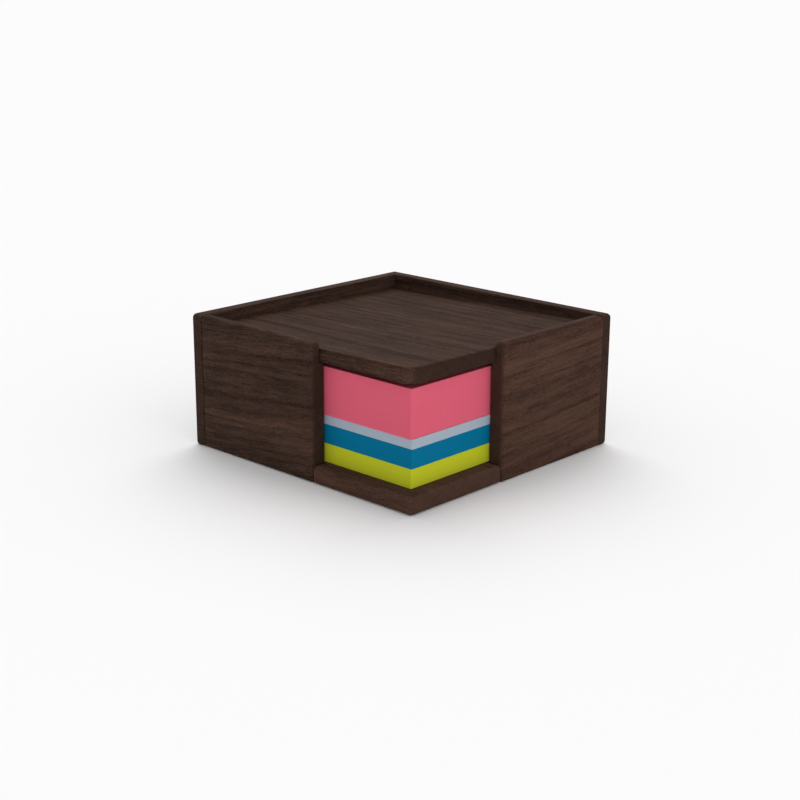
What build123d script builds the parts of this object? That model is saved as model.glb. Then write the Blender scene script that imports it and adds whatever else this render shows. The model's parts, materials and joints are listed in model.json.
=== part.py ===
from build123d import *

import os

# Memo pad holder with drawer, in walnut. Millimetres.
# Origin: centre of the footprint, on the surface that the box stands on. +Z is up.
# -Y is the side of the drawer front, +X the side of the short right wall.
# The window is the cut-away corner between them, at +X and -Y.

# ---- driving dimensions: the memo pads, which the box is made round -----------------
pad_size = 76.0
lime_thickness = 5.4
blue_thickness = 5.5
grey_thickness = 2.7
pink_thickness = 13.9
pad_play = 0.4  # from the pads to the drawer side, and to the line of the right wall
pad_play_front = 0.6
pad_play_back = 1.2
pad_headroom = 1.5  # from the pile to the tray board
# from the bottom up: name, thickness, shift towards +X and +Y, turn in degrees
pads = (
    ("lime_pad", lime_thickness, 0.0, 0.0, 0.08),
    ("blue_pad", blue_thickness, 0.05, 0.1, -0.10),
    ("grey_pad", grey_thickness, 0.1, 0.2, -0.08),
    ("pink_pad", pink_thickness, -0.1, 0.0, 0.06),
)

# ---- driving dimensions: boards ------------------------------------------------------
wall = 4.4  # upright boards of the case, and the drawer front
side_board = 2.7  # drawer side
bottom_board = 5.2  # drawer bottom
board_middle = 3.0  # tray board at the centre of the box
rim_middle = 2.8  # rim above the tray floor at the centre of the box
window_x = 37.3  # leg of the window along the drawer front
window_y = 36.7  # leg of the window along the right wall

# ---- driving dimensions: the tray board and its seats --------------------------------
floor_rise_x = 0.0265  # rise of the tray floor for each mm towards the right
floor_rise_y = -0.0145  # rise of the tray floor for each mm towards the back
rebate = 1.35  # step that carries the board in the right wall, and laps under it in front
board_corner = 4.4  # radius of the board's corner in the window
housing_depth = 1.0  # how far the board is let into the left and the back wall
housing_height = 1.2  # thickness of the board's tongue there

# ---- driving dimensions: running fits of the drawer ----------------------------------
lift = 0.2  # the drawer runs this far above the table
slide_gap = 0.3  # between drawer and case, each side
lap_gap = 0.3  # between the drawer front's step and the tray board
lip_gap = 0.2  # between the drawer front's free end and the lip
side_headroom = 0.6  # between the drawer side and the tray board
runner_height = 2.0
runner_let_in = 1.5  # how far a runner is glued into its wall
runner_bearing = 1.2  # how far it reaches into the groove of the drawer bottom
runner_play = 0.2  # room below and beside a runner in that groove; the upper face rests on it
groove_rise = 1.5  # from the underside of the bottom board to its grooves

# ---- driving dimensions: eased edges -------------------------------------------------
corner_ease = 1.5  # upright outer corners of the box
rim_ease = 1.3  # outer upper edges of the rim
end_ease = 1.2  # upright outer edges beside the window
lip_ease = 1.2  # upper edges of the lip
lip_corner_ease = 0.8  # upright corner of the lip
foot_ease = 1.0  # lower outer edges
arris = 0.35  # other edges that a hand meets, and both sides of an open joint
glue_ease = 0.25  # both sides of a glued joint
board_ease = 0.4  # upper edge of the tray board

# ---- places worked out from them -----------------------------------------------------
box_x = 2 * wall + slide_gap + side_board + 2 * pad_play + pad_size
box_y = 2 * wall + pad_play_front + pad_size + pad_play_back
bottom_z = lift + bottom_board  # upper face of the drawer bottom
under_z = bottom_z + sum(pad[1] for pad in pads) + pad_headroom  # underside of the tray board
floor_z = under_z + board_middle
box_z = floor_z + rim_middle
left, right = -box_x / 2, box_x / 2
front, back = -box_y / 2, box_y / 2
left_in, right_in = left + wall, right - wall  # inner faces of the uprights
front_in, back_in = front + wall, back - wall
window_left = right - window_x  # free end of the drawer front
window_back = front + window_y  # free end of the right wall
rim = wall - rebate  # thickness of the rim above the step
board_right = right - rim
board_front = front + rim + lap_gap
bottom_left, bottom_right = left_in + slide_gap, right_in - slide_gap
bottom_back = back_in - slide_gap
side_right = left_in + slide_gap + side_board
groove_z = lift + groove_rise
groove_depth = runner_bearing + runner_play
runner_z = groove_z + runner_play
runner_top_z = runner_z + runner_height


def block(x, y, z):
    """Box between a pair of limits on each axis."""
    (x0, x1), (y0, y1), (z0, z1) = sorted(x), sorted(y), sorted(z)
    return Pos((x0 + x1) / 2, (y0 + y1) / 2, (z0 + z1) / 2) * Box(x1 - x0, y1 - y0, z1 - z0)


def edges_at(shape, direction, x=None, y=None, z=None):
    """Straight edges along one axis whose middle lies at the given coordinates."""
    found = ShapeList()
    for edge in shape.edges().filter_by(direction):
        middle = edge.center()
        pairs = ((middle.X, x), (middle.Y, y), (middle.Z, z))
        if all(wanted is None or abs(value - wanted) < 1e-4 for value, wanted in pairs):
            found.append(edge)
    return found


def ease(shape, edges, radius, thickness=wall):
    """Round edges over, by less than half of the board's thickness."""
    return fillet(edges, min(radius, 0.45 * thickness)) if edges else shape


def left_wall():
    """Runs from the front face of the box to the back wall."""
    body = block((left, left_in), (front, back_in), (0, box_z))
    body = ease(body, edges_at(body, Axis.Z, x=left, y=front), corner_ease)
    upper = edges_at(body, Axis.Y, x=left, z=box_z) + edges_at(body, Axis.X, y=front, z=box_z)
    body = ease(body, upper, rim_ease)
    lower = edges_at(body, Axis.Y, x=left, z=0) + edges_at(body, Axis.X, y=front, z=0)
    body = ease(body, lower, foot_ease)
    inner = edges_at(body, Axis.Y, x=left_in, z=box_z) + edges_at(body, Axis.Z, x=left_in, y=front)
    body = ease(body, inner, arris)
    body -= left_runner()
    return body - board_housing((left_in - housing_depth, left_in), (board_front, back_in))


def back_wall():
    """Covers the ends of the left wall and of the right wall."""
    y = (back_in, back)
    body = block((left, right), y, (0, box_z))
    for x in (left, right):
        body = ease(body, edges_at(body, Axis.Z, x=x, y=back), corner_ease)
    body = ease(body, edges_at(body, Axis.Z, x=right, y=back_in), glue_ease)
    upper, lower = (
        edges_at(body, Axis.X, y=back, z=z)
        + edges_at(body, Axis.Y, x=left, z=z)
        + edges_at(body, Axis.Y, x=right, z=z)
        for z in (box_z, 0)
    )
    body = ease(body, upper, rim_ease)
    body = ease(body, lower, foot_ease)
    body -= arris_cutter((left_in, board_right))
    return body - board_housing((left_in, board_right), (back_in, back_in + housing_depth))


def arris_cutter(x):
    """What breaking the back wall's upper inner edge takes off, between the side walls."""
    corner = block(x, (back_in, back_in + arris), (box_z - arris, box_z))
    rod = Pos((x[0] + x[1]) / 2, back_in + arris, box_z - arris)
    rod *= Rot(0, 90, 0) * Cylinder(arris, x[1] - x[0])
    return corner - rod


def right_wall():
    """Short wall behind the window, with the step that the tray board lies on."""
    y = (window_back, back_in)
    body = block((right_in, right), y, (0, box_z))
    body -= block((right_in, board_right), y, (under_z, box_z))
    body = ease(body, edges_at(body, Axis.Z, x=right, y=window_back), end_ease)
    body = ease(body, edges_at(body, Axis.Z, x=right, y=back_in), glue_ease)
    body = ease(body, edges_at(body, Axis.Y, x=right, z=box_z), rim_ease)
    body = ease(body, edges_at(body, Axis.Y, x=right, z=0), foot_ease)
    inner = edges_at(body, Axis.Y, x=board_right, z=box_z)
    inner += edges_at(body, Axis.X, y=window_back, z=box_z)
    body = ease(body, inner, arris)
    return body - right_runner()


def left_runner():
    """Strip in the left wall that the drawer bottom slides on."""
    x = (left_in - runner_let_in, bottom_left + runner_bearing)
    return block(x, (front_in, back_in), (runner_z, runner_top_z))


def right_runner():
    """Strip in the right wall; the lip hides its end when the drawer is shut."""
    x = (bottom_right - runner_bearing, right_in + runner_let_in)
    return block(x, (window_back, back_in), (runner_z, runner_top_z))


def runner_groove(edge, inward, start):
    """Groove along an edge of the drawer bottom, open at the back."""
    x = (edge, edge + inward * groove_depth)
    return block(x, (start, bottom_back), (groove_z, runner_top_z))


def board_housing(x, y):
    """Shallow slot in a wall, filled by the tray board's tongue."""
    return block(x, y, (under_z, under_z + housing_height))


def tray_board():
    """Floor of the tray: let into two walls, and laid on the right wall's step."""
    body = block((left_in, board_right), (board_front, back_in), (under_z, box_z))
    body = fillet(edges_at(body, Axis.Z, x=board_right, y=board_front), board_corner)
    floor = Plane(origin=(0, 0, floor_z), z_dir=(-floor_rise_x, -floor_rise_y, 1))
    body = split(body, floor, keep=Keep.BOTTOM)
    upper = body.faces().sort_by(Axis.Z)[-1].edges()
    open_edges = upper.filter_by(
        lambda edge: edge.center().X > right_in or edge.center().Y < front_in - lap_gap
    )
    body = fillet(open_edges, board_ease)
    body += board_housing((left_in - housing_depth, left_in), (board_front, back_in))
    return body + board_housing((left_in, board_right), (back_in, back_in + housing_depth))


def drawer_front():
    """Closes the front from the left wall to the window; its step laps under the tray board."""
    x = (bottom_left, window_left)
    body = block(x, (front, front_in), (lift, box_z))
    body -= block(x, (front + rim, front_in), (under_z - lap_gap, box_z))
    body = ease(body, edges_at(body, Axis.Z, x=window_left, y=front), end_ease)
    body = ease(body, edges_at(body, Axis.X, y=front, z=box_z), rim_ease)
    body = ease(body, edges_at(body, Axis.X, y=front, z=lift), foot_ease)
    inner = edges_at(body, Axis.X, y=front + rim, z=box_z)
    inner += edges_at(body, Axis.Y, x=window_left, z=box_z)
    inner += edges_at(body, Axis.Z, x=bottom_left, y=front)
    return ease(body, inner, arris)


def drawer_bottom():
    """Board under the pads; its corner fills the foot of the window as a lip."""
    lip_left = window_left + lip_gap
    lip_back = window_back - slide_gap
    outline = Polyline(
        (bottom_left, front_in),
        (lip_left, front_in),
        (lip_left, front),
        (right, front),
        (right, lip_back),
        (bottom_right, lip_back),
        (bottom_right, bottom_back),
        (bottom_left, bottom_back),
        close=True,
    )
    body = Pos(0, 0, lift) * extrude(make_face(outline), bottom_board)
    body = ease(body, edges_at(body, Axis.Z, x=right, y=front), lip_corner_ease)
    for x, y in ((lip_left, front), (right, lip_back)):
        body = ease(body, edges_at(body, Axis.Z, x=x, y=y), arris)
    upper = edges_at(body, Axis.X, y=front, z=bottom_z) + edges_at(body, Axis.Y, x=right, z=bottom_z)
    upper += edges_at(body, Axis.X, y=lip_back, z=bottom_z)
    upper += edges_at(body, Axis.Y, x=lip_left, z=bottom_z)
    body = ease(body, upper, lip_ease, bottom_board)
    lower = edges_at(body, Axis.X, y=front, z=lift) + edges_at(body, Axis.Y, x=right, z=lift)
    body = ease(body, lower, foot_ease, bottom_board)
    body -= runner_groove(bottom_left, 1, front_in)
    return body - runner_groove(bottom_right, -1, lip_back)


def drawer_side():
    """Stands on the bottom board, beside the left wall."""
    x = (bottom_left, side_right)
    return block(x, (front_in, bottom_back), (bottom_z, under_z - side_headroom))


def memo_pads():
    """The pile of pads, from the drawer bottom up, each a little out of line."""
    centre_x = right_in - pad_play - pad_size / 2
    centre_y = front_in + pad_play_front + pad_size / 2
    pile = {}
    z = bottom_z
    for name, thickness, shift_x, shift_y, turn in pads:
        place = Pos(centre_x + shift_x, centre_y + shift_y, z + thickness / 2)
        pile[name] = place * Rot(0, 0, turn) * Box(pad_size, pad_size, thickness)
        z += thickness
    return pile


def main():
    """Write each piece to a file of its own."""
    case = (left_wall, back_wall, right_wall, tray_board, left_runner, right_runner)
    drawer = (drawer_front, drawer_bottom, drawer_side)
    pieces = {make.__name__: make() for make in case + drawer}
    pieces.update(memo_pads())
    os.makedirs("parts", exist_ok=True)
    for name, piece in pieces.items():
        export_step(piece, f"parts/{name}.step")


main()
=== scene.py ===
import json
import math
import random
from collections import namedtuple

import bmesh
import bpy
from bpy.props import FloatProperty, FloatVectorProperty, PointerProperty
from mathutils import Matrix, Vector


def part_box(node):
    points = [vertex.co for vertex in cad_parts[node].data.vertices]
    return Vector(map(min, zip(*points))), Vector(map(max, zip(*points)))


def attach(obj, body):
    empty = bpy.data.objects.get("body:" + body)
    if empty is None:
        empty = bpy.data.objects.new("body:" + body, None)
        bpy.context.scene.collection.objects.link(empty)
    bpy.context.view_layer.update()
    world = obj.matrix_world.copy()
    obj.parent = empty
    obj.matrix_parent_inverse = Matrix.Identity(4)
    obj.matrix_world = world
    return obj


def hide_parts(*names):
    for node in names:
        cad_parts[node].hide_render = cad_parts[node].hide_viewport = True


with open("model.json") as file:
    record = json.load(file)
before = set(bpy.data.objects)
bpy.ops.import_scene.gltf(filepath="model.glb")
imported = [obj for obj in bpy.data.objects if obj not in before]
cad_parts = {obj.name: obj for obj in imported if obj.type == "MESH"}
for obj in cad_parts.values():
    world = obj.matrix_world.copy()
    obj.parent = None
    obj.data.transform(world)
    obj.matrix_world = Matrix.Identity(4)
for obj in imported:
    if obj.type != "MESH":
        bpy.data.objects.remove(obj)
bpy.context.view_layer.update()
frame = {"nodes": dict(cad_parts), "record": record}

bl_info = {
    "name": "Memo pad holder with drawer",
    "version": (1, 0, 0),
    "blender": (4, 5, 0),
    "location": "View3D > Sidebar > Memo box",
    "description": "Finishes the walnut boards of a memo pad holder and cuts its paper pads",
    "category": "Object",
}

MM = 0.001
TO_MM = (1 / MM,) * 3
UP = Vector((0, 0, 1))

# How a board is cut from its log: the axis that the grain runs along and the grain's tilt about
# X, Y and Z in degrees; the board's place in the log in mm, along the grain, across and up; the
# heart of the log, across and up from there. Then how light the board is, and how red.
Cut = namedtuple("Cut", "grain tilt place heart lightness redness", defaults=(0.0, 0.0))
BOARDS = {
    "left_wall": Cut("Y", (-1.5, 0, 0.5), (310, 12, 7), (25, -95)),
    "back_wall": Cut("X", (0, 1.5, -1), (120, -40, 31), (-30, -80), redness=0.1),
    "right_wall": Cut("Y", (-2.6, 0, 0.6), (-210, 30, 58), (22, -70), 0.14, 0.45),
    "tray_board": Cut("X", (0.4, -0.5, 1.2), (35, 75, -22), (-110, -60), -0.06, 0.25),
    "left_runner": Cut("Y", (0, 0, 1), (400, 20, 12), (60, -20)),
    "right_runner": Cut("Y", (0, 0, -1), (520, 33, 18), (60, -20)),
    "drawer_front": Cut("X", (0, 5.0, 0.5), (-60, 15, 96), (28, -85)),
    "drawer_bottom": Cut("X", (0.5, 1.0, -1.4), (640, 52, 41), (-90, -70), 0.36, 0.3),
    "drawer_side": Cut("Y", (1.0, 0, 0), (-470, 18, 24), (20, -90)),
}
PADS = ("lime_pad", "blue_pad", "grey_pad", "pink_pad")

# A layer of noise: how fast it changes per mm along X, Y and Z, its detail and roughness, and
# its weight, which is a change of shade, or a distance in mm where it bends the log.
Noise = namedtuple("Noise", "stretch detail roughness weight")
NOISE_MIDDLE = 0.5

# The log is neither round nor straight. X runs along the grain.
SWAY = Noise((0.011, 0.035, 0.035), 1.0, 0.5, 5.0)
RIPPLE = Noise((0.045, 0.14, 0.14), 2.0, 0.5, 0.8)

# The walnut's figure
STREAK = Noise((0.025, 0.42, 0.42), 3.0, 0.6, 0.95)
FIBRE = Noise((0.16, 2.4, 2.4), 3.0, 0.7, 1.15)
FINE_FIBRE = Noise((1.6, 4.6, 4.6), 2.0, 0.7, 1.35)
CLOUD = Noise((0.05, 0.07, 0.07), 2.0, 0.5, 0.4)
BAND_WEIGHT = 0.45

# Growth rings: how many rings their spacing wanders by, and how late the wood is over one ring
RING_WANDER = 2.6
RING_SHADES = ((0.0, 0.25), (0.12, 0.0), (0.62, 0.3), (0.93, 1.0), (1.0, 0.25))
LATE_MIDDLE = 0.35
LATE_WEIGHT = -0.22

# Open pores: cells per mm along the grain and across it, and how far a pore reaches in its cell
PORE_CELLS = (0.3, 2.3, 2.3)
PORE_REACH = 0.12
EARLY_PORE_REACH = 0.14
PORE_TINT = (0.30, 0.27, 0.27)
PORE_TINTING = 0.7

# Tones at which the dark, the main and the light colour of the wood lie
WOOD_TONES = (0.12, 0.5, 0.95)
PLAIN_TONE = 0.5
WARM_STREAKS = (0.45, 0.75)
WARM_TINT = (1.12, 0.93, 0.88)
WARM_TINTING = 0.35

# End grain soaks up more oil, which evens it out and darkens it.
END_FACING = (0.55, 0.95)
END_TONE = 0.46
END_EVENING = 0.6
END_TINT = (0.84, 0.86, 0.90)
END_TINTING = 0.8
END_ROUGHENING = 0.1

# Finish of the wood: roughness between fibres, relief of the fibres beside that of the pores
FIBRE_ROUGHENING = 0.14
FIBRE_RELIEF = 0.55
FINE_FIBRE_RELIEF = 0.35
WALNUT_SPECULAR = 0.012

# Cut edges of the paper
PAPER_ROUGHNESS = 0.66
FLUFF_ROUGHENING = 0.2
FLUFF_RELIEF = 0.6
PAPER_RELIEF = 0.015 * MM
PAPER_SPECULAR = 0.05

# Rounding of the back wall: radius of its rim and of its upright corners, the degrees from one
# direction of rounding to the next, and the cuts made in each direction
RIM_EASE = 1.3 * MM
CORNER_EASE = 1.5 * MM
DIRECTION_STEP = 15
CUTS_PER_EDGE = 6
CUT_TOLERANCE = 0.0001 * MM
WELD_DISTANCE = 0.001 * MM
FLAT_ANGLE = math.radians(0.5)
SHARP_ANGLE = math.radians(30)

# Stack of sheets: radius of a worn corner, points between two corners, the part of its lean that
# a sheet passes on to the next, the lean that each sheet adds, as a part of the scatter, its turn
# in radians, and the room left round the sheets in the pad's box, in scatters
WORN_CORNER = 0.25 * MM
SIDE_POINTS = 5
LEAN_KEPT = 0.9
NEW_LEAN = 0.25
SHEET_TURN = 0.0001
ROOM_IN_SCATTERS = 3

# Studio, in metres. A lamp has its width in degrees and the direction that its light comes from.
GROUND_REACH = 12.0
LAMPS = {"key": (55, (-0.44, 0.47, 0.77)), "fill": (80, (0.86, -0.22, 0.30))}
CAMERA_PLACE = (0.2923, -0.31118, 0.1408)
CAMERA_AZIMUTH = math.radians(43.279)
CAMERA_ELEVATION = math.radians(16.589)
CAMERA_ROLL = math.radians(0.267)
CAMERA_CLIP = 0.01
WHITE = (1.0, 1.0, 1.0, 1.0)


class WalnutSettings(bpy.types.PropertyGroup):
    """Colours and figure of the walnut."""

    deep: FloatVectorProperty(
        name="Late wood", description="Dark lines of the growth rings", subtype="COLOR",
        default=(0.024, 0.0125, 0.0090), min=0, max=1)
    body: FloatVectorProperty(
        name="Heartwood", description="Main colour of the boards", subtype="COLOR",
        default=(0.050, 0.0285, 0.0210), min=0, max=1)
    light: FloatVectorProperty(
        name="Early wood", description="Light streaks", subtype="COLOR",
        default=(0.092, 0.053, 0.0370), min=0, max=1)
    ring: FloatProperty(
        name="Ring spacing", description="Mean width of a growth ring, in millimetres",
        default=3.6, min=0.5, max=12)
    roughness: FloatProperty(
        name="Roughness", description="Roughness of the thin oil finish",
        default=0.6, min=0, max=1)
    relief: FloatProperty(
        name="Relief", description="Depth of the open pores", unit="LENGTH", precision=5,
        default=0.00006, min=0, max=0.001)


class PaperSettings(bpy.types.PropertyGroup):
    """Colours and cut of the memo pads."""

    lime: FloatVectorProperty(
        name="Lime", description="Colour of the lowest pad", subtype="COLOR",
        default=(0.580, 0.620, 0.024), min=0, max=1)
    blue: FloatVectorProperty(
        name="Blue", description="Colour of the second pad", subtype="COLOR",
        default=(0.0005, 0.175, 0.325), min=0, max=1)
    grey: FloatVectorProperty(
        name="Grey", description="Colour of the third pad", subtype="COLOR",
        default=(0.410, 0.475, 0.560), min=0, max=1)
    pink: FloatVectorProperty(
        name="Pink", description="Colour of the top pad", subtype="COLOR",
        default=(0.760, 0.125, 0.195), min=0, max=1)
    sheet: FloatProperty(
        name="Sheet", description="Thickness of one sheet", unit="LENGTH", precision=5,
        default=0.0001, min=0.00005, max=0.001)
    scatter: FloatProperty(
        name="Scatter", description="How far a sheet may stand out of the pad",
        unit="LENGTH", precision=5, default=0.00001, min=0, max=0.0005)


class StudioSettings(bpy.types.PropertyGroup):
    """Ground, lamps and camera."""

    ground: FloatVectorProperty(
        name="Ground", description="Colour of the ground and of what is behind it",
        subtype="COLOR", default=(0.962, 0.962, 0.962), min=0, max=1)
    ambient: FloatProperty(
        name="Ambient", description="Strength of the light from all round",
        default=0.585, min=0, max=2)
    key: FloatProperty(
        name="Key", description="Strength of the wide lamp high behind the box",
        default=1.42, min=0, max=10)
    fill: FloatProperty(
        name="Fill", description="Strength of the wide lamp at the right",
        default=0.7, min=0, max=10)
    lens: FloatProperty(
        name="Lens", description="Focal length of the camera, in millimetres",
        default=67.14, min=10, max=300)


class MemoBoxSettings(bpy.types.PropertyGroup):
    """All that a user would change."""

    walnut: PointerProperty(type=WalnutSettings)
    paper: PointerProperty(type=PaperSettings)
    studio: PointerProperty(type=StudioSettings)


class Nodes:
    """Adds shader nodes to a tree and joins them."""

    def __init__(self, tree):
        self.tree = tree
        tree.nodes.clear()

    def add(self, kind, inputs=None, **settings):
        """Adds a node. An input is another node's output or a constant."""
        node = self.tree.nodes.new(kind)
        for name, value in settings.items():
            setattr(node, name, value)
        for key, value in (inputs or {}).items():
            if isinstance(value, bpy.types.NodeSocket):
                self.tree.links.new(value, node.inputs[key])
            else:
                node.inputs[key].default_value = value
        return node

    def math(self, operation, *values, clamp=False):
        """Result of an operation on numbers."""
        node = self.add("ShaderNodeMath", dict(enumerate(values)), operation=operation,
                        use_clamp=clamp)
        return node.outputs[0]

    def vector(self, operation, *values):
        """Result of an operation on vectors."""
        node = self.add("ShaderNodeVectorMath", dict(enumerate(values)), operation=operation)
        return node.outputs["Value" if operation in ("LENGTH", "DOT_PRODUCT") else "Vector"]

    def noise(self, place, layer, output="Fac"):
        """Noise in space, stretched as its layer says."""
        node = self.add("ShaderNodeTexNoise", {
            "Vector": self.vector("MULTIPLY", place, layer.stretch), "Scale": 1.0,
            "Detail": layer.detail, "Roughness": layer.roughness})
        return node.outputs[output]

    def noise_along(self, value, scale, detail):
        """Noise along one value."""
        node = self.add("ShaderNodeTexNoise", {"W": value, "Scale": scale, "Detail": detail},
                        noise_dimensions="1D")
        return node.outputs["Fac"]

    def blend(self, start, *parts):
        """A start value, moved by what each part differs from its middle, times its weight."""
        for value, middle, weight in parts:
            start = self.math("MULTIPLY_ADD", self.math("SUBTRACT", value, middle), weight, start)
        return start

    def smooth_step(self, value, low, high):
        """0 up to a low value, 1 from a high one, and smooth between them."""
        node = self.add("ShaderNodeMapRange", {
            "Value": value, "From Min": low, "From Max": high},
            interpolation_type="SMOOTHSTEP")
        return node.outputs["Result"]

    def ramp(self, value, places, colours):
        """Colours at their places along a value, and their blends between them."""
        node = self.add("ShaderNodeValToRGB", {"Fac": value})
        points = node.color_ramp.elements
        while len(points) < len(places):
            points.new(1.0)
        for point, place, colour in zip(points, places, colours):
            point.position = place
            point.color = (*colour, 1.0)
        return node.outputs["Color"]

    def tint(self, amount, colour, by):
        """A colour multiplied by another one, in part."""
        factor, first, second, result = 0, 6, 7, 2
        node = self.add("ShaderNodeMix", {factor: amount, first: colour, second: (*by, 1.0)},
                        data_type="RGBA", blend_type="MULTIPLY")
        return node.outputs[result]


def new_material(name):
    """An empty material, and what adds nodes to it."""
    material = bpy.data.materials.new(name)
    material.use_nodes = True
    return material, Nodes(material.node_tree)


def add_object(name, data):
    """An object in the scene, at the origin."""
    piece = bpy.data.objects.new(name, data)
    bpy.context.scene.collection.objects.link(piece)
    return piece


def add_mesh(name, mesh):
    """An object in the scene from a bmesh, which is freed."""
    data = bpy.data.meshes.new(name)
    mesh.to_mesh(data)
    mesh.free()
    return add_object(name, data)


def finish_surface(n, colour, roughness, height, relief, specular):
    """Ends a material in a plain shader with a bump."""
    bump = n.add("ShaderNodeBump", {"Height": height, "Distance": relief, "Strength": 1.0})
    shader = n.add("ShaderNodeBsdfPrincipled", {
        "Base Color": colour, "Roughness": roughness, "Normal": bump.outputs["Normal"],
        "Specular IOR Level": specular})
    n.add("ShaderNodeOutputMaterial", {"Surface": shader.outputs["BSDF"]})


def place_in_log(n, spot, cut):
    """Where a spot of the board lies in its log, in mm, with X along the grain."""
    turn = [math.radians(angle) for angle in cut.tilt]
    if cut.grain == "Y":
        turn[2] -= math.pi / 2
    node = n.add("ShaderNodeMapping", {
        "Vector": spot, "Scale": TO_MM, "Rotation": turn, "Location": cut.place})
    return node.outputs["Vector"]


def bend_log(n, place):
    """The same place after the log is bent across its length, in long and in short waves."""
    bends = []
    for layer in (SWAY, RIPPLE):
        wave = n.vector("SUBTRACT", n.noise(place, layer, "Color"), (NOISE_MIDDLE,) * 3)
        bends.append(n.vector("MULTIPLY", wave, (0, layer.weight, layer.weight)))
    return n.vector("ADD", place, n.vector("ADD", *bends))


def growth_rings(n, place, cut, spacing):
    """How many rings a place is from the heart, and how late in its ring it grew."""
    across, up = cut.heart
    heart = (0, cut.place[1] + across, cut.place[2] + up)
    outward = n.vector("MULTIPLY", n.vector("SUBTRACT", place, heart), (0, 1, 1))
    rings = n.math("DIVIDE", n.vector("LENGTH", outward), spacing)
    uneven = n.noise_along(rings, scale=0.45, detail=2.0)
    count = n.math("ADD", rings, n.math("MULTIPLY", uneven, RING_WANDER))
    places, shades = zip(*RING_SHADES)
    late = n.ramp(n.math("FRACT", count), places, [(shade,) * 3 for shade in shades])
    return rings, late


def open_pores(n, place, late):
    """Short dashes along the grain and dots on the ends, larger in the early wood."""
    cells = n.add("ShaderNodeTexVoronoi", {
        "Vector": n.vector("MULTIPLY", place, PORE_CELLS), "Scale": 1.0})
    early = n.math("SUBTRACT", 1.0, late)
    reach = n.math("MULTIPLY_ADD", early, EARLY_PORE_REACH, PORE_REACH)
    hollow = n.math("DIVIDE", cells.outputs["Distance"], reach)
    return n.math("SUBTRACT", 1.0, hollow, clamp=True)


def end_grain(n, normal, cut):
    """1 on the ends of a board, and 0 on its faces and edges."""
    along = (1, 0, 0) if cut.grain == "X" else (0, 1, 0)
    facing = n.math("ABSOLUTE", n.vector("DOT_PRODUCT", normal, along))
    return n.smooth_step(facing, *END_FACING)


def walnut_colour(n, tone, streak, pore, end, cut, settings):
    """Colour by the tone of the wood, with warm streaks, dark pores and dull ends."""
    colour = n.ramp(tone, WOOD_TONES, (settings.deep, settings.body, settings.light))
    warm = n.math("MULTIPLY_ADD", n.smooth_step(streak, *WARM_STREAKS), WARM_TINTING,
                  cut.redness, clamp=True)
    colour = n.tint(warm, colour, WARM_TINT)
    colour = n.tint(n.math("MULTIPLY", pore, PORE_TINTING), colour, PORE_TINT)
    return n.tint(n.math("MULTIPLY", end, END_TINTING), colour, END_TINT)


def walnut_material(board, settings):
    """Walnut for one board, cut from its own place in a log."""
    cut = BOARDS[board]
    material, n = new_material(f"walnut_{board}")
    coordinates = n.add("ShaderNodeTexCoord").outputs
    place = place_in_log(n, coordinates["Object"], cut)
    bent = bend_log(n, place)
    rings, late = growth_rings(n, bent, cut, settings.ring)
    band = n.noise_along(rings, scale=0.23, detail=1.0)
    streak = n.noise(bent, STREAK)
    fibre = n.noise(bent, FIBRE)
    fine = n.noise(bent, FINE_FIBRE)
    cloud = n.noise(place, CLOUD)
    pore = open_pores(n, bent, late)
    end = end_grain(n, coordinates["Normal"], cut)

    tone = n.blend(
        PLAIN_TONE + cut.lightness, (streak, NOISE_MIDDLE, STREAK.weight),
        (fibre, NOISE_MIDDLE, FIBRE.weight), (band, NOISE_MIDDLE, BAND_WEIGHT),
        (cloud, NOISE_MIDDLE, CLOUD.weight), (fine, NOISE_MIDDLE, FINE_FIBRE.weight),
        (late, LATE_MIDDLE, LATE_WEIGHT))
    to_end_tone = n.math("SUBTRACT", END_TONE + cut.lightness, tone)
    tone = n.math("MULTIPLY_ADD", to_end_tone, n.math("MULTIPLY", end, END_EVENING), tone)
    colour = walnut_colour(n, tone, streak, pore, end, cut, settings)

    smoothest = settings.roughness - FIBRE_ROUGHENING / 2
    rough = n.math("MULTIPLY_ADD", fibre, FIBRE_ROUGHENING, smoothest)
    rough = n.math("MULTIPLY_ADD", end, END_ROUGHENING, rough)
    height = n.math("MULTIPLY_ADD", pore, -1.0, n.math("MULTIPLY", fibre, FIBRE_RELIEF))
    height = n.math("MULTIPLY_ADD", fine, FINE_FIBRE_RELIEF, height)
    finish_surface(n, colour, rough, height, settings.relief, WALNUT_SPECULAR)
    return material


def paper_material(pad, colour, settings):
    """Cut edge of a stack of coloured sheets."""
    material, n = new_material(f"paper_{pad}")
    place = n.vector("MULTIPLY", n.add("ShaderNodeTexCoord").outputs["Object"], TO_MM)
    sheets_per_mm = MM / settings.sheet
    layers = {
        "line": Noise((0.05, 0.05, 0.55 * sheets_per_mm), 2.0, 0.7, 0.07),
        "group": Noise((0.02, 0.02, 1.1), 3.0, 0.6, 0.03),
        "fluff": Noise((2.2, 2.2, 5.0), 3.0, 0.7, 0.10),
        "drag": Noise((0.9, 0.9, 0.05), 2.0, 0.5, 0.03),
    }
    marks = {name: n.noise(place, layer) for name, layer in layers.items()}
    shade = n.blend(1.0, *((marks[name], NOISE_MIDDLE, layer.weight)
                           for name, layer in layers.items()))
    white = n.add("ShaderNodeCombineColor", {0: shade, 1: shade, 2: shade}).outputs["Color"]
    rough = n.math("MULTIPLY_ADD", marks["fluff"], FLUFF_ROUGHENING, PAPER_ROUGHNESS)
    height = n.math("ADD", marks["line"], n.math("MULTIPLY", marks["fluff"], FLUFF_RELIEF))
    finish_surface(n, n.tint(1.0, white, colour), rough, height, PAPER_RELIEF, PAPER_SPECULAR)
    return material


def finish_board(board, settings):
    """Gives a board of the frame its walnut."""
    piece = frame["nodes"][board]
    piece.data.materials.clear()
    piece.data.materials.append(walnut_material(board, settings))


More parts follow.
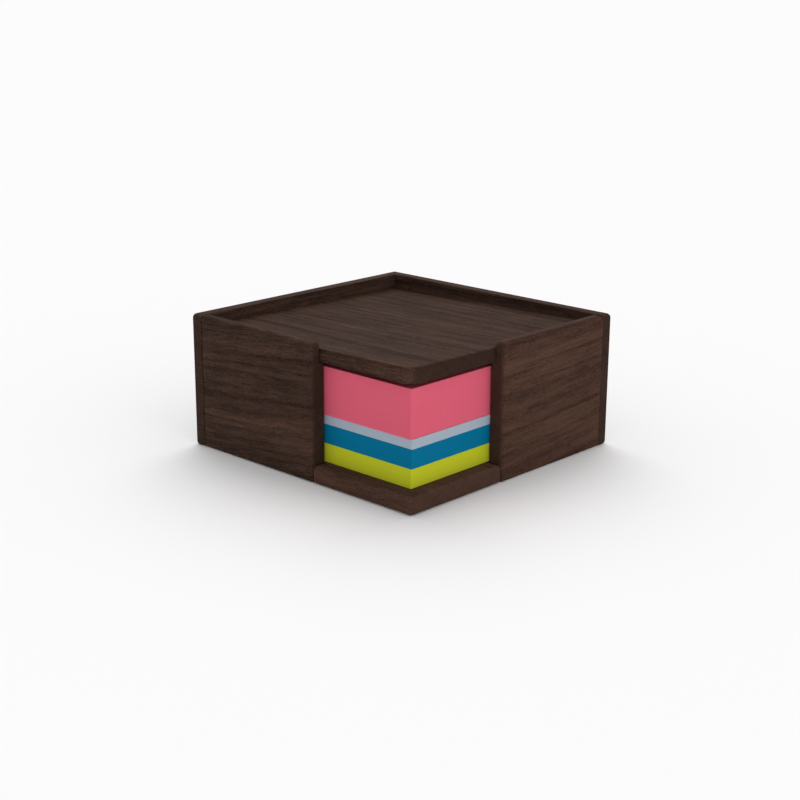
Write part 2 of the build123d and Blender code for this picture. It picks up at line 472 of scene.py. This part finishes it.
def round_edge(mesh, place, outward, radius):
    """Rounds an upper edge of a closed mesh, by cuts that touch the round."""
    centre = place - (outward + UP) * radius
    for cut in range(CUTS_PER_EDGE):
        angle = (cut + 0.5) / CUTS_PER_EDGE * math.pi / 2
        normal = outward * math.cos(angle) + UP * math.sin(angle)
        bmesh.ops.bisect_plane(
            mesh, geom=[*mesh.verts, *mesh.edges, *mesh.faces], dist=CUT_TOLERANCE,
            plane_co=centre + normal * radius, plane_no=normal, clear_outer=True)
        bmesh.ops.edgenet_fill(mesh, edges=[edge for edge in mesh.edges if edge.is_boundary])


def round_rim(board, radius, corner):
    """Copy of the wall along the back, with its upper outer edges rounded over."""
    source = frame["nodes"][board]
    mesh = bmesh.new()
    mesh.from_mesh(source.data)
    bmesh.ops.remove_doubles(mesh, verts=mesh.verts, dist=WELD_DISTANCE)
    bmesh.ops.dissolve_limit(
        mesh, angle_limit=FLAT_ANGLE, verts=mesh.verts, edges=mesh.edges)
    low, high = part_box(board)
    # from the right end, round both corners of the back, to the left end
    right, back, left = 0, 90, 180
    for degrees in range(right, left + 1, DIRECTION_STEP):
        turn = math.radians(degrees)
        outward = Vector((math.cos(turn), math.sin(turn), 0))
        middle = Vector((high.x - corner if degrees < back else low.x + corner,
                         high.y - corner, high.z))
        round_edge(mesh, middle + outward * corner, outward, radius)
    if any(not edge.is_manifold for edge in mesh.edges):
        raise RuntimeError(f"{board} isn't closed after its rim was rounded")
    bmesh.ops.recalc_face_normals(mesh, faces=mesh.faces)
    for face in mesh.faces:
        face.smooth = True
    for edge in mesh.edges:
        edge.smooth = edge.calc_face_angle() < SHARP_ANGLE
    piece = add_mesh(f"{board}_rounded", mesh)
    piece.data.materials.append(source.data.materials[0])
    return piece


class MEMOBOX_OT_case(bpy.types.Operator):
    """Finish the walls, the tray board and the runners in walnut"""

    bl_idname = "memobox.case"
    bl_label = "Finish the case"

    def execute(self, context):
        for board in frame["record"]["behaviour"]["bodies"]["case"]:
            finish_board(board, context.scene.memo_box.walnut)
        piece = round_rim("back_wall", RIM_EASE, CORNER_EASE)
        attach(piece, "case")
        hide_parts("back_wall")
        return {"FINISHED"}


class MEMOBOX_OT_drawer(bpy.types.Operator):
    """Finish the boards of the drawer in walnut"""

    bl_idname = "memobox.drawer"
    bl_label = "Finish the drawer"

    def execute(self, context):
        for board in frame["record"]["behaviour"]["bodies"]["drawer"]:
            if board not in PADS:
                finish_board(board, context.scene.memo_box.walnut)
        return {"FINISHED"}


def sheet_outline(half, corner):
    """Points round a square sheet, with its corners a little worn."""
    straight = half - corner
    points = []
    for quarter in range(4):
        turn = Matrix.Rotation(quarter * math.pi / 2, 2)
        for step in range(1, SIDE_POINTS + 1):
            along = -1 + 2 * step / (SIDE_POINTS + 1)
            points.append(turn @ Vector((half, along * straight)))
        for angle in (0, math.pi / 4, math.pi / 2):
            points.append(turn @ Vector((straight + corner * math.cos(angle),
                                         straight + corner * math.sin(angle))))
    return points


def sheet_turn_and_shifts(count, scatter, seed):
    """The turn and the shift of each sheet, for a pile that leans a little to and fro."""
    draw = random.Random(seed)
    lean = Vector((0.0, 0.0))
    for _ in range(count):
        lean = (lean * LEAN_KEPT
                + Vector((draw.gauss(0, 1), draw.gauss(0, 1))) * scatter * NEW_LEAN)
        shift = lean + Vector((draw.uniform(-1, 1), draw.uniform(-1, 1))) * scatter
        yield Matrix.Rotation(draw.gauss(0, 1) * SHEET_TURN, 2), shift


def stack_sheets(name, low, high, settings, seed):
    """One closed mesh for a pad: a thin ledge wherever a sheet stands out."""
    size = min(high.x - low.x, high.y - low.y)
    centre = (low + high) / 2
    count = max(2, round((high.z - low.z) / settings.sheet))
    thick = (high.z - low.z) / count
    outline = sheet_outline(size / 2 - ROOM_IN_SCATTERS * settings.scatter, WORN_CORNER)
    mesh = bmesh.new()
    rings = []
    places = sheet_turn_and_shifts(count, settings.scatter, seed)
    for sheet, (turn, shift) in enumerate(places):
        points = [turn @ point + shift for point in outline]
        for level in (sheet, sheet + 1):
            z = low.z + level * thick
            rings.append([mesh.verts.new((centre.x + p.x, centre.y + p.y, z)) for p in points])
    for lower, upper in zip(rings, rings[1:]):
        for index in range(len(lower)):
            following = (index + 1) % len(lower)
            mesh.faces.new((lower[index], lower[following], upper[following], upper[index]))
    mesh.faces.new(list(reversed(rings[0])))
    mesh.faces.new(rings[-1])
    return add_mesh(name, mesh)


class MEMOBOX_OT_pads(bpy.types.Operator):
    """Cut the four paper pads, sheet by sheet, in place of their blocks"""

    bl_idname = "memobox.pads"
    bl_label = "Cut the pads"

    def execute(self, context):
        settings = context.scene.memo_box.paper
        for seed, pad in enumerate(PADS):
            low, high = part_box(pad)
            piece = stack_sheets(f"{pad}_sheets", low, high, settings, seed)
            colour = getattr(settings, pad.removesuffix("_pad"))
            piece.data.materials.append(paper_material(pad, colour, settings))
            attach(piece, "drawer")
            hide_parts(pad)
        return {"FINISHED"}


def lay_ground(settings):
    """Wide pale ground that keeps the shadow of the box."""
    reach = GROUND_REACH
    data = bpy.data.meshes.new("ground")
    corners = [(-reach, -reach, 0), (reach, -reach, 0), (reach, reach, 0), (-reach, reach, 0)]
    data.from_pydata(corners, [], [(0, 1, 2, 3)])
    ground = add_object("ground", data)
    material, n = new_material("ground")
    shader = n.add("ShaderNodeBsdfDiffuse", {"Color": (*settings.ground, 1.0)})
    n.add("ShaderNodeOutputMaterial", {"Surface": shader.outputs["BSDF"]})
    data.materials.append(material)


def light_studio(settings):
    """Even light from all round, a wide lamp high behind the box and a weak one at the right."""
    world = bpy.data.worlds.new("studio")
    world.use_nodes = True
    bpy.context.scene.world = world
    n = Nodes(world.node_tree)
    path = n.add("ShaderNodeLightPath").outputs
    seen = n.math("MAXIMUM", path["Is Camera Ray"], path["Is Transmission Ray"])
    shown = n.add("ShaderNodeBackground", {"Color": (*settings.ground, 1.0), "Strength": 1.0})
    light = n.add("ShaderNodeBackground", {"Color": WHITE, "Strength": settings.ambient})
    both = n.add("ShaderNodeMixShader", {0: seen, 1: light.outputs[0], 2: shown.outputs[0]})
    n.add("ShaderNodeOutputWorld", {"Surface": both.outputs[0]})
    for name, (width, place) in LAMPS.items():
        data = bpy.data.lights.new(name, "SUN")
        data.energy = getattr(settings, name)
        data.angle = math.radians(width)
        lamp = add_object(name, data)
        lamp.rotation_euler = Vector(place).to_track_quat("Z", "Y").to_euler()


def place_camera(settings):
    """Camera at the height and angle of the product picture."""
    data = bpy.data.cameras.new("camera")
    data.lens = settings.lens
    data.clip_start = CAMERA_CLIP
    camera = add_object("camera", data)
    camera.matrix_world = (
        Matrix.Translation(CAMERA_PLACE)
        @ (Matrix.Rotation(CAMERA_AZIMUTH, 4, "Z")
           @ Matrix.Rotation(math.pi / 2 - CAMERA_ELEVATION, 4, "X"))
        @ Matrix.Rotation(CAMERA_ROLL, 4, "Z"))
    bpy.context.scene.camera = camera


class MEMOBOX_OT_studio(bpy.types.Operator):
    """Lay the ground, light it and place the camera"""

    bl_idname = "memobox.studio"
    bl_label = "Set up the studio"

    def execute(self, context):
        settings = context.scene.memo_box.studio
        lay_ground(settings)
        light_studio(settings)
        place_camera(settings)
        context.scene.view_settings.view_transform = "Standard"
        return {"FINISHED"}


class MEMOBOX_PT_panel(bpy.types.Panel):
    """Settings and steps of the memo box"""

    bl_label = "Memo box"
    bl_idname = "MEMOBOX_PT_panel"
    bl_space_type = "VIEW_3D"
    bl_region_type = "UI"
    bl_category = "Memo box"

    def draw(self, context):
        for title, steps in (("walnut", ("memobox.case", "memobox.drawer")),
                             ("paper", ("memobox.pads",)), ("studio", ("memobox.studio",))):
            box = self.layout.box()
            settings = getattr(context.scene.memo_box, title)
            for name in settings.__annotations__:
                box.prop(settings, name)
            for step in steps:
                box.operator(step)


CLASSES = (
    WalnutSettings,
    PaperSettings,
    StudioSettings,
    MemoBoxSettings,
    MEMOBOX_OT_case,
    MEMOBOX_OT_drawer,
    MEMOBOX_OT_pads,
    MEMOBOX_OT_studio,
    MEMOBOX_PT_panel,
)


def register():
    for cls in CLASSES:
        bpy.utils.register_class(cls)
    bpy.types.Scene.memo_box = PointerProperty(type=MemoBoxSettings)


def unregister():
    del bpy.types.Scene.memo_box
    for cls in reversed(CLASSES):
        bpy.utils.unregister_class(cls)


def main():
    """Make everything in order."""
    register()
    bpy.ops.memobox.case()
    bpy.ops.memobox.drawer()
    bpy.ops.memobox.pads()
    bpy.ops.memobox.studio()
    bpy.context.view_layer.update()


if __name__ == "__main__":
    main()
